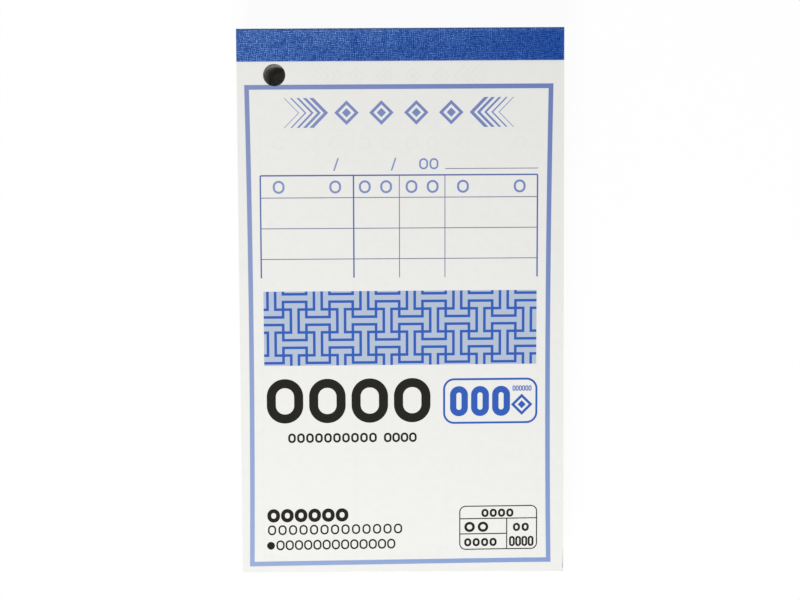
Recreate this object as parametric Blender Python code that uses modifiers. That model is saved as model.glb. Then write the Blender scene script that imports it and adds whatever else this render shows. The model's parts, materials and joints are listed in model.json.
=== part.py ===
"""Guest check pad: thin slips under a printed cover, gummed at the head, taped and drilled for hanging.

The pad lies on its back. +X is its right side, +Y runs to the bound head and +Z comes out of the printed
face. The origin is under the middle of the pad, on the surface that it lies on. Lengths are in metres.
"""

from math import cos, pi, radians, sin

import bmesh
import bpy

MM = 0.001

# Driving dimensions of the block
PAD_WIDTH = 88.0 * MM
PAD_HEIGHT = 148.0 * MM
SLIP_COUNT = 250
SLIP_THICKNESS = 0.050 * MM
SHEET_GAP = 0.010 * MM
COVER_THICKNESS = 0.070 * MM
BOARD_THICKNESS = 0.70 * MM

# Driving dimensions of the binding
TAPE_THICKNESS = 0.22 * MM
TAPE_DEPTH = 8.8 * MM
TAPE_CORNER_RADIUS = 0.60 * MM
TAPE_CORNER_STEPS = 6
GUM_THICKNESS = 0.30 * MM
BOND_GAP = 0.02 * MM

# The hanging hole, measured from the left side and from the head
HOLE_DIAMETER = 6.0 * MM
HOLE_FROM_LEFT = 10.1 * MM
HOLE_FROM_HEAD = 12.4 * MM
HOLE_SIDES = 32
SEAT_BELOW_HOLE = 4.5 * MM

# The cover's fold, just clear of the tape's lower edge
FOLD_BELOW_TAPE = 0.20 * MM
FOLD_RADIUS = 0.80 * MM
FOLD_SLIT = 0.10 * MM

# How the slips are told apart: the top ones singly, the rest in tens
SINGLE_SLIPS = 3
BUNDLE_SIZE = 10

# Places worked out from the dimensions above
TAIL_Y = -PAD_HEIGHT / 2
HEAD_Y = PAD_HEIGHT / 2
TAPE_EDGE_Y = HEAD_Y - TAPE_DEPTH
GUM_FRONT_Y = HEAD_Y - TAPE_THICKNESS - BOND_GAP
SHEET_HEAD_Y = GUM_FRONT_Y - GUM_THICKNESS - BOND_GAP
FOLD_Y = TAPE_EDGE_Y - FOLD_BELOW_TAPE
HOLE_X = HOLE_FROM_LEFT - PAD_WIDTH / 2
HOLE_Y = HEAD_Y - HOLE_FROM_HEAD
SLIP_PITCH = SLIP_THICKNESS + SHEET_GAP
BOARD_Z = TAPE_THICKNESS + BOND_GAP
SLIPS_Z = BOARD_Z + BOARD_THICKNESS + SHEET_GAP
COVER_Z = SLIPS_Z + SLIP_COUNT * SLIP_PITCH
FRONT_TAPE_Z = COVER_Z + COVER_THICKNESS + BOND_GAP
PAD_THICKNESS = FRONT_TAPE_Z + TAPE_THICKNESS
FOLD_Z = COVER_Z + COVER_THICKNESS / 2 + FOLD_RADIUS


def clear_scene():
    """Take every object out of the open file."""
    for old in list(bpy.data.objects):
        bpy.data.objects.remove(old)


def new_collection(name):
    """A collection of that name in the scene."""
    made = bpy.data.collections.new(name)
    bpy.context.scene.collection.children.link(made)
    return made


def finish(name, colour, roughness):
    """A Principled material of one colour."""
    made = bpy.data.materials.new(name)
    made.use_nodes = True
    shader = made.node_tree.nodes["Principled BSDF"]
    shader.inputs["Base Color"].default_value = (*colour, 1.0)
    shader.inputs["Roughness"].default_value = roughness
    shader.inputs["Metallic"].default_value = 0.0
    made.diffuse_color = (*colour, 1.0)
    return made


def place(obj, collection, material=None):
    """Move an object into one collection and give it its material."""
    for old in list(obj.users_collection):
        old.objects.unlink(obj)
    collection.objects.link(obj)
    if material:
        obj.data.materials.append(material)
    return obj


def add_mesh(name, bm, origin, collection, material):
    """An object whose mesh is given in pad coordinates and whose origin is the given point."""
    bmesh.ops.translate(bm, verts=bm.verts, vec=[-c for c in origin])
    mesh = bpy.data.meshes.new(name)
    bm.to_mesh(mesh)
    bm.free()
    obj = bpy.data.objects.new(name, mesh)
    obj.location = origin
    return place(obj, collection, material)


def slab(low, high):
    """A box between two corners, as a bmesh."""
    bm = bmesh.new()
    bmesh.ops.create_cube(bm, size=1.0)
    bmesh.ops.scale(bm, verts=bm.verts, vec=[h - l for l, h in zip(low, high)])
    bmesh.ops.translate(bm, verts=bm.verts, vec=[(l + h) / 2 for l, h in zip(low, high)])
    return bm


def sheet(name, tail_y, head_y, z, thickness, collection, material, origin=None):
    """A trimmed sheet, or a bundle of them, lying flat between two heights across the pad's width."""
    low = (-PAD_WIDTH / 2, tail_y, z)
    high = (PAD_WIDTH / 2, head_y, z + thickness)
    middle = (0.0, (tail_y + head_y) / 2, z + thickness / 2)
    return add_mesh(name, slab(low, high), origin or middle, collection, material)


def hole_drill(collection):
    """The round drill that goes through the whole block below the tape."""
    past = 2 * BOARD_THICKNESS
    bpy.ops.mesh.primitive_cylinder_add(
        vertices=HOLE_SIDES,
        radius=HOLE_DIAMETER / 2,
        depth=PAD_THICKNESS + 2 * past,
        location=(HOLE_X, HOLE_Y, PAD_THICKNESS / 2),
    )
    drill = bpy.context.object
    drill.name = "hanging_hole_drill"
    drill.hide_render = True
    drill.display_type = "WIRE"
    return place(drill, collection)


def drilled(obj, drill):
    """Cut the hanging hole through a sheet, and shade its wall round."""
    cut = obj.modifiers.new("hanging_hole", "BOOLEAN")
    cut.operation = "DIFFERENCE"
    cut.object = drill
    obj.data.shade_smooth()
    obj.data.set_sharp_from_angle(angle=radians(40))
    return obj


def build_board(pad, drill):
    """The grey board, with its back parted below the hole into a plain seat and a drilled head."""
    low = (-PAD_WIDTH / 2, TAIL_Y, BOARD_Z)
    high = (PAD_WIDTH / 2, SHEET_HEAD_Y, BOARD_Z + BOARD_THICKNESS)
    bm = slab(low, high)
    bmesh.ops.bisect_plane(
        bm,
        geom=bm.verts[:] + bm.edges[:] + bm.faces[:],
        plane_co=(0.0, HOLE_Y - SEAT_BELOW_HOLE, 0.0),
        plane_no=(0.0, 1.0, 0.0),
    )
    grey = finish("greyboard", (0.33, 0.29, 0.24), 0.9)
    board = add_mesh("backing_board", bm, (0.0, 0.0, BOARD_Z), pad, grey)
    return drilled(board, drill)


def build_slips(pad, drill):
    """The slips, numbered from the front: single ones that tear off, then bundles of ten."""
    white = finish("slip_paper", (0.84, 0.84, 0.82), 0.85)

    def lower_face(number):
        return SLIPS_Z + (SLIP_COUNT - number) * SLIP_PITCH

    for number in range(1, SINGLE_SLIPS + 1):
        name = f"slip_{number:03d}"
        single = sheet(name, TAIL_Y, SHEET_HEAD_Y, lower_face(number), SLIP_THICKNESS, pad, white)
        drilled(single, drill)

    first = SINGLE_SLIPS + 1
    while first <= SLIP_COUNT:
        last = (first + BUNDLE_SIZE - 1) // BUNDLE_SIZE * BUNDLE_SIZE
        thickness = (last - first + 1) * SLIP_PITCH - SHEET_GAP
        name = f"slips_{first:03d}_{last:03d}"
        bundle = sheet(name, TAIL_Y, SHEET_HEAD_Y, lower_face(last), thickness, pad, white)
        drilled(bundle, drill)
        first = last + 1


def build_cover(pad, drill):
    """The printed cover: a leaf that turns about its fold, and its head held under the tape."""
    white = finish("cover_paper", (0.86, 0.86, 0.84), 0.8)
    axis = (0.0, FOLD_Y, FOLD_Z)
    leaf = sheet(
        "cover_sheet", TAIL_Y, FOLD_Y - FOLD_SLIT / 2, COVER_Z, COVER_THICKNESS, pad, white, axis
    )
    drilled(leaf, drill)
    sheet(
        "cover_bound_head", FOLD_Y + FOLD_SLIT / 2, SHEET_HEAD_Y, COVER_Z, COVER_THICKNESS, pad, white
    )


def build_gum(pad):
    """The padding gum brushed over the head edges of the block, between the tape's two corners."""
    inner_radius = TAPE_CORNER_RADIUS - TAPE_THICKNESS
    low = (-PAD_WIDTH / 2, GUM_FRONT_Y - GUM_THICKNESS, TAPE_THICKNESS + inner_radius)
    high = (PAD_WIDTH / 2, GUM_FRONT_Y, FRONT_TAPE_Z - inner_radius)
    gum = finish("padding_gum", (0.72, 0.68, 0.55), 0.45)
    middle = (0.0, GUM_FRONT_Y - GUM_THICKNESS / 2, PAD_THICKNESS / 2)
    add_mesh("padding_gum", slab(low, high), middle, pad, gum)


def tape_profile():
    """The tape's outer line in Y and Z: front strip, round corner, spine, round corner, back strip."""
    radius = TAPE_CORNER_RADIUS
    points = [(TAPE_EDGE_Y, PAD_THICKNESS)]
    for centre_z, start in ((PAD_THICKNESS - radius, pi / 2), (radius, 0.0)):
        for step in range(TAPE_CORNER_STEPS + 1):
            angle = start - pi / 2 * step / TAPE_CORNER_STEPS
            points.append((HEAD_Y - radius + radius * cos(angle), centre_z + radius * sin(angle)))
    points.append((TAPE_EDGE_Y, 0.0))
    return points


def build_tape(pad):
    """The binding tape: its outer surface drawn across the pad, thickened inwards."""
    bm = bmesh.new()
    line = [bm.verts.new((-PAD_WIDTH / 2, y, z)) for y, z in tape_profile()]
    edges = [bm.edges.new(pair) for pair in zip(line, line[1:])]
    swept = bmesh.ops.extrude_edge_only(bm, edges=edges)["geom"]
    far_side = [item for item in swept if isinstance(item, bmesh.types.BMVert)]
    bmesh.ops.translate(bm, verts=far_side, vec=(PAD_WIDTH, 0.0, 0.0))
    blue = finish("binding_tape", (0.035, 0.10, 0.36), 0.5)
    tape = add_mesh("binding_tape", bm, (0.0, HEAD_Y, PAD_THICKNESS / 2), pad, blue)
    wall = tape.modifiers.new("tape_thickness", "SOLIDIFY")
    wall.thickness = TAPE_THICKNESS
    wall.offset = -1.0
    wall.use_even_offset = True
    tape.data.shade_smooth()
    tape.data.set_sharp_from_angle(angle=radians(40))


def main():
    """Build the pad from its back to its front."""
    clear_scene()
    pad = new_collection("guest_check_pad")
    drill = hole_drill(new_collection("cutters"))
    build_board(pad, drill)
    build_slips(pad, drill)
    build_cover(pad, drill)
    build_gum(pad)
    build_tape(pad)


main()
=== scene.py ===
"""Looks of a guest check pad: a printed cover over 250 thin slips, bound at the head with embossed tape.

Lengths are in metres in the pad's own frame: +X to its right, +Y to its bound head, +Z out of its printed
face. Print is set out in millimetres on the sheet, along the same axes.
"""

from __future__ import annotations

import json
import logging
from dataclasses import dataclass
from enum import Enum
from functools import reduce
from math import radians
from typing import Any, Mapping, Sequence, Union

import bpy
import numpy as np
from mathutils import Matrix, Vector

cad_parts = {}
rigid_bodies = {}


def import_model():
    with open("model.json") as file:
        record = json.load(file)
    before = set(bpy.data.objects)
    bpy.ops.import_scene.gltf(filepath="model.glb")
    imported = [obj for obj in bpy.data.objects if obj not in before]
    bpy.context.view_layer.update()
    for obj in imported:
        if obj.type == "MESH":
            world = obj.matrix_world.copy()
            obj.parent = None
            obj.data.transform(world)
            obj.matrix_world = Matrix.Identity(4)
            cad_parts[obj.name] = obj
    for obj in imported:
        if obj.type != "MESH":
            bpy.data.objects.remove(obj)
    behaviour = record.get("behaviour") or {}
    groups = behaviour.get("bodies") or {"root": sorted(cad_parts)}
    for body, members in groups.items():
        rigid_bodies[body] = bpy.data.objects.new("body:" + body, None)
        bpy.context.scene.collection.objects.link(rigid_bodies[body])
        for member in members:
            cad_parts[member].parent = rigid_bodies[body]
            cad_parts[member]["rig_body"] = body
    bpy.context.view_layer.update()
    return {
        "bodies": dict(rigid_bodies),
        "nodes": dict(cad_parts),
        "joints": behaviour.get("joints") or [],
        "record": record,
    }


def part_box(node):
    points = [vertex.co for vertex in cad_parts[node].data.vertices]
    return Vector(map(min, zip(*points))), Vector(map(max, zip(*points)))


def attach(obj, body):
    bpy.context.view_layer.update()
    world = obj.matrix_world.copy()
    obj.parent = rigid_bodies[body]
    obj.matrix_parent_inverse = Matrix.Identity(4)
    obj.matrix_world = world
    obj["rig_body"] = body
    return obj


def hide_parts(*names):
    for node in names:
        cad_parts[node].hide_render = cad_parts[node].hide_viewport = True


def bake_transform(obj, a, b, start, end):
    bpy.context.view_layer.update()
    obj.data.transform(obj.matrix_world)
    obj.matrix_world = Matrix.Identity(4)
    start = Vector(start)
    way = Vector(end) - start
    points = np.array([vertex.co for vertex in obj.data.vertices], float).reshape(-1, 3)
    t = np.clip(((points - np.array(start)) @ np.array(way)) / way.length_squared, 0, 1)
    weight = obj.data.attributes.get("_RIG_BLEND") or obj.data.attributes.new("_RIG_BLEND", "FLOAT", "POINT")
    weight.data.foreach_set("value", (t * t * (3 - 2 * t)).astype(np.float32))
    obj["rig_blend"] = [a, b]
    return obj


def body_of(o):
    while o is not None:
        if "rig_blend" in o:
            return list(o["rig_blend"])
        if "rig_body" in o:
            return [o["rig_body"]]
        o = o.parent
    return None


log = logging.getLogger("guest_check_pad")

MM = 0.001
SHEET_UV = "sheet"
TONE = "tone"
RELIEF = "relief"
# The tape's wear together with its painted sheen, stored at its points.
WEAR_AND_SHEEN = "wear_and_sheen"
SMOOTH_BELOW = radians(35)
NOISE_CELLS = 512

SLIPS_FRONT = 16.0 * MM
HOLE_SIDES = 24
HOLE_RINGS = 2
HOLE_BLOCK = 3.1 * MM
HOLE_BLOCK_CELLS = 12

Colour = tuple[float, float, float]
Span = tuple[float, float]
Box = tuple[float, float, float, float]

WHITE: Colour = (1.0, 1.0, 1.0)


def linear(red: int, green: int, blue: int) -> Colour:
    """Turn a colour as a screen shows it into the linear light that shaders use.

    Each share goes through the screen's standard curve: a short straight start, then a power.

    Args:
        red: Red from 0 to 255.
        green: Green from 0 to 255.
        blue: Blue from 0 to 255.

    Returns:
        The linear colour.
    """
    shares = np.array((red, green, blue)) / 255
    curve = np.where(shares <= 0.04045, shares / 12.92, ((shares + 0.055) / 1.055) ** 2.4)
    return tuple(curve.tolist())


class Value:
    """A number or colour in a shader. Sums on numbers add Math nodes, so shader maths reads as Python."""

    def __init__(self, tree: ShaderTree, socket: bpy.types.NodeSocket) -> None:
        """Wrap one output socket of a shader's tree."""
        self.tree = tree
        self.socket = socket

    def math(self, operation: str, *others: Number, clamp: bool = False) -> Value:
        """Add a Math node that takes this value first and the others after it."""
        settings = {"operation": operation, "use_clamp": clamp}
        return self.tree.node("ShaderNodeMath", settings, dict(enumerate((self, *others))))

    def __add__(self, other: Number) -> Value:
        """This value plus another."""
        return self.math("ADD", other)

    __radd__ = __add__

    def __sub__(self, other: Number) -> Value:
        """This value less another."""
        return self.math("SUBTRACT", other)

    def __rsub__(self, other: float) -> Value:
        """A plain number less this value."""
        return self.tree.node("ShaderNodeMath", {"operation": "SUBTRACT"}, {0: other, 1: self})

    def __mul__(self, other: Number) -> Value:
        """This value times another."""
        return self.math("MULTIPLY", other)

    __rmul__ = __mul__

    def __truediv__(self, other: Number) -> Value:
        """This value over another."""
        return self.math("DIVIDE", other)

    def __rtruediv__(self, other: float) -> Value:
        """A plain number over this value."""
        return self.tree.node("ShaderNodeMath", {"operation": "DIVIDE"}, {0: other, 1: self})

    def __abs__(self) -> Value:
        """The size of this value without its sign."""
        return self.math("ABSOLUTE")

    def times_plus(self, factor: Number, extra: Number) -> Value:
        """This value times a factor, plus an extra, in one node."""
        return self.math("MULTIPLY_ADD", factor, extra)

    def hypotenuse(self, other: Value) -> Value:
        """The square root of this value's square plus another's."""
        return self.times_plus(self, other * other).math("SQRT")

    def most(self, other: Number) -> Value:
        """The larger of two values: of two masks, what either covers."""
        return self.math("MAXIMUM", other)

    def least(self, other: Number) -> Value:
        """The smaller of two values: of two masks, what both cover."""
        return self.math("MINIMUM", other)

    def near(self, middle: Number, reach: Number) -> Value:
        """A mask of where this value is within a reach of a middle value."""
        return self.math("COMPARE", middle, reach)

    def below(self, limit: Number) -> Value:
        """A mask of where this value is under a limit."""
        return self.math("LESS_THAN", limit)

    def spread(self, low: float, high: float) -> Value:
        """This value's run from low to high, stretched to 0 to 1 and held there."""
        return self.math("MULTIPLY_ADD", 1 / (high - low), -low / (high - low), clamp=True)


Number = Union[Value, float]


class ShaderTree:
    """The nodes of a material or a world."""

    def __init__(self, owner: bpy.types.Material | bpy.types.World) -> None:
        """Take up the nodes that its owner starts with.

        Args:
            owner: The material or world.
        """
        owner.use_nodes = True
        self.owner = owner
        self.nodes = owner.node_tree.nodes
        self.links = owner.node_tree.links

    def node(
        self,
        kind: str,
        settings: Mapping[str, Any] | None = None,
        sockets: Mapping[int | str, Any] | None = None,
        output: int | str = 0,
    ) -> Value:
        """Add any node.

        Args:
            kind: The node's type name.
            settings: What is set on the node itself, before its sockets.
            sockets: Values or links of its inputs, by name or number.
            output: Which output is wanted, by name or number.

        Returns:
            That output.
        """
        made = self.nodes.new(kind)
        for name, setting in (settings or {}).items():
            setattr(made, name, setting)
        for key, value in (sockets or {}).items():
            self.feed(made.inputs[key], value)
        return Value(self, made.outputs[output])

    def feed(self, socket: bpy.types.NodeSocket, value: Any) -> None:
        """Link a value to an input, or set the input to a plain number, vector or colour.

        Args:
            socket: The input.
            value: What goes into it.
        """
        if isinstance(value, Value):
            self.links.new(value.socket, socket)
        elif socket.type == "RGBA":
            socket.default_value = (*value, 1.0)
        else:
            socket.default_value = value

    def set(self, **inputs: Any) -> None:
        """Feed inputs of the Principled shader, each named with underscores for spaces."""
        for name, value in inputs.items():
            self.feed(self.nodes["Principled BSDF"].inputs[name.replace("_", " ")], value)

    def object_place(self, stretch: tuple[float, float, float] = (1.0, 1.0, 1.0)) -> Value:
        """The place on the object in metres, stretched along each axis."""
        place = self.node("ShaderNodeTexCoord", output="Object")
        return self.node("ShaderNodeMapping", {}, {"Vector": place, "Scale": stretch})

    def parts(self, vector: Value) -> list[Value]:
        """The three numbers of a vector."""
        made = self.node("ShaderNodeSeparateXYZ", {}, {0: vector}).socket.node
        return [Value(self, output) for output in made.outputs]

    def attribute(self, name: str) -> Value:
        """A number stored at the mesh's points."""
        return self.node("ShaderNodeAttribute", {"attribute_name": name}, output="Fac")

    def noise(self, place: Value, grain: float, detail: float = 2.0, rough: float = 0.5) -> Value:
        """Cloudy noise from 0 to 1 whose patches are about one grain, in metres, across."""
        sockets = {"Vector": place, "Scale": 1 / grain, "Detail": detail, "Roughness": rough}
        return self.node("ShaderNodeTexNoise", {}, sockets)

    def mix(self, share: Number, first: Any, second: Any) -> Value:
        """Mix two colours by a share of the second."""
        settings = {"data_type": "RGBA", "clamp_factor": True}
        return self.node("ShaderNodeMix", settings, {0: share, 6: first, 7: second}, output=2)

    def bump(self, height: Value, depth: float) -> Value:
        """A normal tilted by a height that is 0 to 1 over a depth in metres."""
        sockets = {"Height": height, "Distance": depth, "Strength": 1.0}
        return self.node("ShaderNodeBump", {}, sockets)


class Ink(Enum):
    """The inks of the sheets, as linear colours on white paper."""

    SOFT_BLUE = linear(111, 140, 207)
    LINE_BLUE = linear(92, 110, 176)
    LINE_GREY = linear(112, 112, 152)
    TINT = linear(191, 204, 224)
    DEEP_BLUE = linear(55, 99, 192)
    BLACK = linear(30, 29, 26)


INK_DARKNESS: Mapping[Ink, float] = {
    Ink.SOFT_BLUE: 0.5,
    Ink.LINE_BLUE: 0.35,
    Ink.LINE_GREY: 0.2,
    Ink.TINT: 0.22,
    Ink.DEEP_BLUE: 0.9,
    Ink.BLACK: 0.9,
}


class Type(Enum):
    """The sizes of the plain zeros: half their width, half their height and their stroke, in millimetres."""

    TITLE = (5.0, 6.1, 2.5)
    SUBTITLE = (1.05, 1.32, 0.56)
    COUNT = (2.45, 4.15, 1.76)
    UNIT = (0.40, 0.74, 0.25)
    HEADING = (1.6, 1.75, 0.58)
    NUMBER = (1.2, 1.5, 0.46)
    BOLD = (1.75, 1.86, 1.08)
    BODY = (1.14, 1.38, 0.45)
    CODE = (0.98, 1.15, 0.60)
    CODE_WIDE = (1.45, 1.42, 0.72)
    CODE_TALL = (0.8, 1.42, 0.54)


@dataclass(frozen=True)
class ZeroRow:
    """A row of plain zeros in the place of words: the middles of the first and last, and how many."""

    size: Type
    y: float
    first: float
    last: float
    count: int = 2


@dataclass(frozen=True)
class MarkRow:
    """An even row of small marks: the first one's middle, their pitch, how many, and half their height."""

    y: float
    first: float
    pitch: float
    count: int
    half: float


class Press:
    """Prints plain marks in a sheet's shader. Each mark is a mask worked out from the place on the sheet."""

    zero_roundness: float = 0.98
    ring_middle: float = 0.83
    ring_half: float = 0.17
    ring_core: float = 0.38
    slash_lean: float = 0.34
    slash_stroke: float = 0.42

    def __init__(self, tree: ShaderTree, x: Value, y: Value) -> None:
        """Start on a blank sheet.

        Args:
            tree: The nodes of the sheet's material.
            x: The place across the sheet, in millimetres.
            y: The place along it.
        """
        self.tree = tree
        self.x = x
        self.y = y
        self.masks: dict[Ink, Value] = {}

    def put(self, ink: Ink, mask: Value) -> None:
        """Add a mask to what an ink already covers."""
        self.masks[ink] = self.masks[ink].most(mask) if ink in self.masks else mask

    def box(self, left: float, right: float, low: float, high: float) -> Value:
        """A mask of a rectangle."""
        across = self.x.near((left + right) / 2, (right - left) / 2)
        return across * self.y.near((low + high) / 2, (high - low) / 2)

    def rule(self, ink: Ink, y: float, left: float, right: float, width: float) -> None:
        """Print a line across the sheet."""
        self.put(ink, self.box(left, right, y - width / 2, y + width / 2))

    def post(self, ink: Ink, x: float, low: float, high: float, width: float) -> None:
        """Print a line along the sheet."""
        self.put(ink, self.box(x - width / 2, x + width / 2, low, high))

    def dot(self, ink: Ink, x: float, y: float, radius: float) -> None:
        """Print a round dot."""
        self.put(ink, (self.x - x).hypotenuse(self.y - y).below(radius))

    def row(self, first: float, pitch: float, count: int) -> Value:
        """How far across a point is from the nearest of a row of evenly set middles.

        The nearest one's number is the distance from the first over the pitch, rounded and held in the row.

        Args:
            first: The first middle.
            pitch: The step to the next one.
            count: How many there are.

        Returns:
            The distance, to the right where it is positive.
        """
        start = self.x - first
        step = (start / pitch).math("ROUND").most(0.0).least(count - 1.0)
        return step.times_plus(-pitch, start)

    def round_box(self, across: Value, along: Value, half: Span, corner: float) -> Value:
        """Distance from the core of a box with round corners, which is the box less its corners' radius.

        Args:
            across: Distance across from the box's middle.
            along: Distance along from it.
            half: Half of the box's width and height.
            corner: Radius of its corners, at which distance its outline is.

        Returns:
            The distance.
        """
        past_x = (abs(across) - (half[0] - corner)).most(0.0)
        past_y = (abs(along) - (half[1] - corner)).most(0.0)
        return past_x.hypotenuse(past_y)

    def zeros(self, ink: Ink, row: ZeroRow) -> None:
        """Print a row of plain zeros, each an upright ring with straight sides.

        Args:
            ink: The ink.
            row: The zeros' size and places.
        """
        half_width, half_height, stroke = row.size.value
        middle = (half_width - stroke / 2, half_height - stroke / 2)
        corner = self.zero_roundness * min(middle)
        across = self.row(row.first, (row.last - row.first) / (row.count - 1), row.count)
        core = self.round_box(across, self.y - row.y, middle, corner)
        self.put(ink, core.near(corner, stroke / 2))

    def panel(self, ink: Ink, box: Box, corner: float, width: float) -> None:
        """Print the outline of a box with round corners.

        Args:
            ink: The ink.
            box: Left, right, low and high side.
            corner: Radius of the corners.
            width: Width of the line, which is within the box.
        """
        left, right, low, high = box
        half = ((right - left - width) / 2, (high - low - width) / 2)
        core = self.round_box(self.x - (left + right) / 2, self.y - (low + high) / 2, half, corner)
        self.put(ink, core.near(corner, width / 2))

    def lozenges(self, ink: Ink, row: MarkRow) -> None:
        """Print a row of lozenges, each a ring round a smaller solid one: |x| + |y| measures both."""
        size = (abs(self.row(row.first, row.pitch, row.count)) + abs(self.y - row.y)) / row.half
        self.put(ink, size.near(self.ring_middle, self.ring_half).most(size.below(self.ring_core)))

    def slashes(self, ink: Ink, row: MarkRow) -> None:
        """Print a row of slashes, which lean a third of their height to the right.

        Args:
            ink: The ink.
            row: The slashes' size and places.
        """
        along = self.y - row.y
        leaning = self.row(row.first, row.pitch, row.count) - along * self.slash_lean
        self.put(ink, leaning.near(0.0, self.slash_stroke / 2) * along.near(0.0, row.half))

    def colour(
        self,
        paper: Value,
        strengths: Mapping[Ink, Number] | None = None,
        tones: Mapping[Ink, Value] | None = None,
    ) -> Value:
        """Lay every ink over the paper's colour, in the order of the inks.

        Args:
            paper: The paper's colour.
            strengths: How fully some inks cover, where that isn't 1.
            tones: The colours of some inks, where they change over the sheet.

        Returns:
            The printed paper's colour.
        """
        printed = paper
        for ink in Ink:
            if ink in self.masks:
                covered = self.masks[ink] * (strengths or {}).get(ink, 1.0)
                printed = self.tree.mix(covered, printed, (tones or {}).get(ink, ink.value))
        return printed

    def darkness(self) -> Value:
        """How much the print darkens the sheet all told, for what shows through thin paper."""
        shares = [mask * INK_DARKNESS[ink] for ink, mask in self.masks.items()]
        return reduce(Value.most, shares)


@dataclass(frozen=True)
class TitleBlock:
    """A row of lozenges between two groups of chevrons that thicken towards it, in millimetres."""

    middle_x: float = -0.43
    y: float = 51.43
    half_height: float = 4.0
    outer_reach: float = 27.10
    slope: float = 0.975
    step: float = 1.715
    chevrons: int = 5
    thinnest: float = 0.26
    thicker: float = 0.235
    lozenges: int = 4
    lozenge_pitch: float = 9.4
    lozenge_half: float = 3.3

    def print(self, press: Press) -> None:
        """Print the block.

        The sheet is folded at the middle. Counted inwards from the outermost chevron's edge, which moves
        out with the height from the middle line, each step holds one stroke, wider than the one before.

        Args:
            press: The sheet's press.
        """
        height = abs(press.y - self.y)
        inwards = height.times_plus(self.slope, self.outer_reach) - abs(press.x - self.middle_x)
        number = (inwards / self.step).math("FLOOR")
        past_edge = number.times_plus(-self.step, inwards)
        stroke = past_edge.below(number.times_plus(self.thicker, self.thinnest))
        counted = number.near((self.chevrons - 1) / 2, self.chevrons / 2)
        press.put(Ink.SOFT_BLUE, stroke * counted * height.below(self.half_height))
        first = self.middle_x - (self.lozenges - 1) / 2 * self.lozenge_pitch
        row = MarkRow(self.y, first, self.lozenge_pitch, self.lozenges, self.lozenge_half)
        press.lozenges(Ink.SOFT_BLUE, row)


@dataclass(frozen=True)
class DateRow:
    """The row over the form's table, in millimetres: the date's slashes, two zeros and the number's rule."""

    slashes: MarkRow = MarkRow(37.55, first=-17.45, pitch=15.55, count=2, half=1.72)
    zeros: ZeroRow = ZeroRow(Type.NUMBER, 37.62, first=6.2, last=9.0)
    rule_y: float = 36.3
    rule_left: float = 12.0
    rule_right: float = 37.1
    rule_width: float = 0.2

    def print(self, press: Press) -> None:
        """Print the row.

        Args:
            press: The sheet's press.
        """
        press.slashes(Ink.SOFT_BLUE, self.slashes)
        press.zeros(Ink.SOFT_BLUE, self.zeros)
        press.rule(Ink.LINE_GREY, self.rule_y, self.rule_left, self.rule_right, self.rule_width)


@dataclass(frozen=True)
class FormTable:
    """The ruled table of the form, in millimetres: a heading row and open rows under it."""

    left: float = -37.95
    right: float = 36.98
    dividers: tuple[float, ...] = (-12.76, -0.37, 11.96)
    words: tuple[Span, ...] = ((-33.0, -17.7), (-9.7, -3.94), (2.93, 8.64), (16.83, 32.17))
    word_drop: float = 0.1
    top: float = 34.6
    heading: float = 6.0
    row: float = 8.3
    rows: int = 2
    open_foot: float = 5.1
    heavy: float = 0.39
    light: float = 0.22

    @property
    def foot(self) -> float:
        """Height of the table's foot."""
        return self.top - self.heading - self.rows * self.row - self.open_foot

    def print(self, press: Press) -> None:
        """Print the rules, heavy round the outside and after the first column, and the heading's zeros.

        Args:
            press: The sheet's press.
        """
        press.rule(Ink.LINE_BLUE, self.top, self.left, self.right, self.heavy)
        for x in (self.left, self.dividers[0], self.right):
            press.post(Ink.LINE_BLUE, x, self.foot, self.top, self.heavy)
        for x in self.dividers[1:]:
            press.post(Ink.LINE_GREY, x, self.foot, self.top, self.light)
        for number in range(self.rows + 1):
            y = self.top - self.heading - number * self.row
            press.rule(Ink.LINE_GREY, y, self.left, self.right, self.light)
        for first, last in self.words:
            word_y = self.top - self.heading / 2 - self.word_drop
            press.zeros(Ink.SOFT_BLUE, ZeroRow(Type.HEADING, word_y, first, last))


@dataclass(frozen=True)
class Lattice:
    """A band of the old I-lattice, in millimetres: upright I shapes on two interlocked square grids."""

    left: float = -37.45
    right: float = 36.9
    low: float = -17.05
    high: float = 3.25
    unit: float = 1.055
    period_units: int = 12
    half_wide_units: int = 3
    half_tall_units: int = 5
    half_web_units: int = 1
    half_notch_units: int = 3
    first_x: float = -28.98
    first_y: float = -4.68
    stroke: float = 0.72
    squeeze: float = 0.99

    def outline(self, across: Value, along: Value) -> Value:
        """A mask of the edge of an I: a box less the notches at both sides of its web.

        The larger of the two distances past the box's sides measures the box, the smaller of those past
        the web and the notch's ends measures the notches, and the larger of both the I.

        Args:
            across: Distance across from the I's middle.
            along: Distance along from it.

        Returns:
            The mask.
        """
        unit = self.unit
        box = (across - self.half_wide_units * unit).most(along - self.half_tall_units * unit)
        notch = (across - self.half_web_units * unit).least(self.half_notch_units * unit - along)
        return box.most(notch).near(0.0, self.stroke / 2)

    def print(self, press: Press) -> None:
        """Print the tinted band, then the outlines on both grids, the second half a period further on.

        Args:
            press: The sheet's press.
        """
        half = self.period_units * self.unit / 2
        across = (press.x - self.first_x).math("PINGPONG", half)
        from_low = (press.y - self.low) / self.squeeze
        along = (from_low + (self.low - self.first_y)).math("PINGPONG", half)
        band = press.box(self.left, self.right, self.low, self.high)
        press.put(Ink.TINT, band)
        both = self.outline(across, along).most(self.outline(half - across, half - along))
        press.put(Ink.DEEP_BLUE, both * band)


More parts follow.
